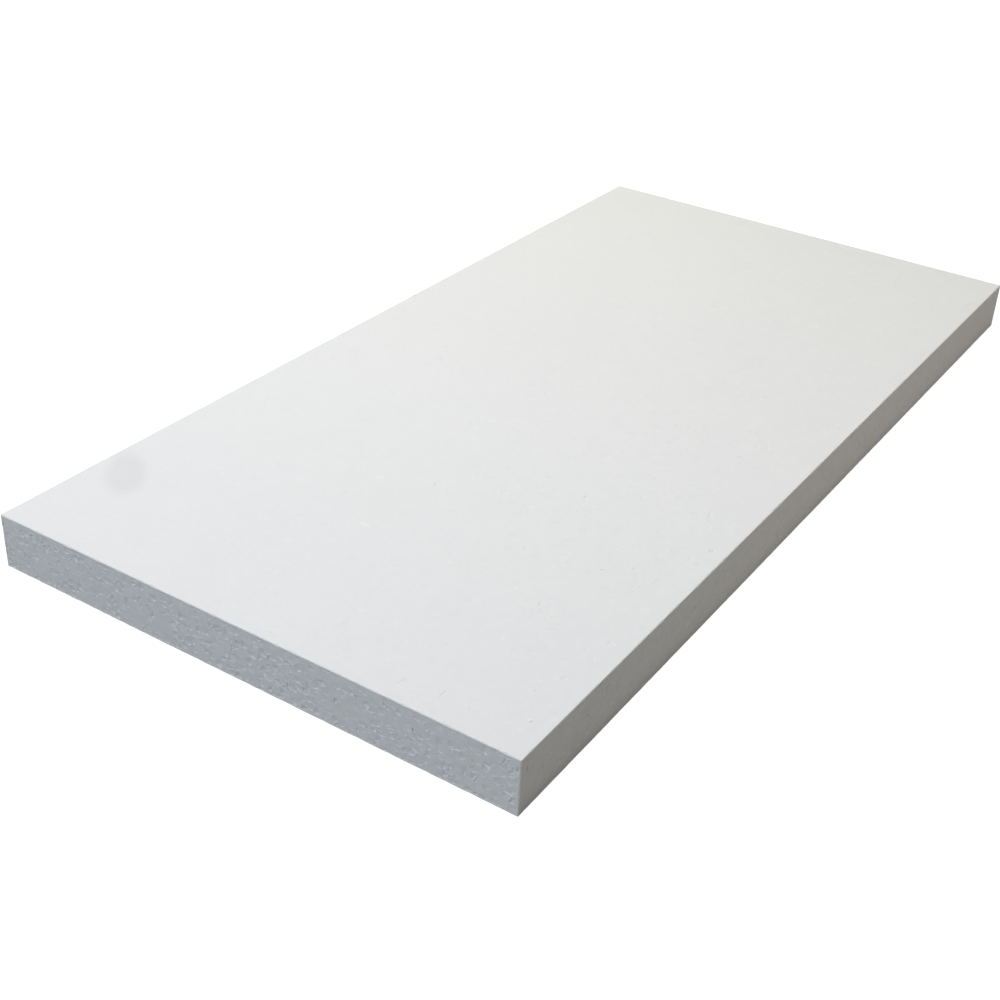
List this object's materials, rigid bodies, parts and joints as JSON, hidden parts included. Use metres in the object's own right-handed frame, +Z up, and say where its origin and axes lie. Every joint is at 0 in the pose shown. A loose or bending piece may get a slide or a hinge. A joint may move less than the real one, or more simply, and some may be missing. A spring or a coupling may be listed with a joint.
{
  "type": "expanded polystyrene insulation board",
  "caption": "Rectangular white expanded polystyrene foam board for thermal insulation of walls, floors and roofs, cut square with plain butt edges.",
  "frame": {"origin": "centre of the face that lies down, on the surface that the board rests on", "axes": "+X along the board's length, +Y along its width, +Z up through its thickness"},
  "size_m": [1, 0.5, 0.05],
  "materials": {
    "eps_foam": "matte white closed-cell bead foam, hot-wire cut, with visible fused beads on the edges"
  },
  "bodies": {
    "root": {"insulation_board": "eps_foam"}
  },
  "joints": []
}
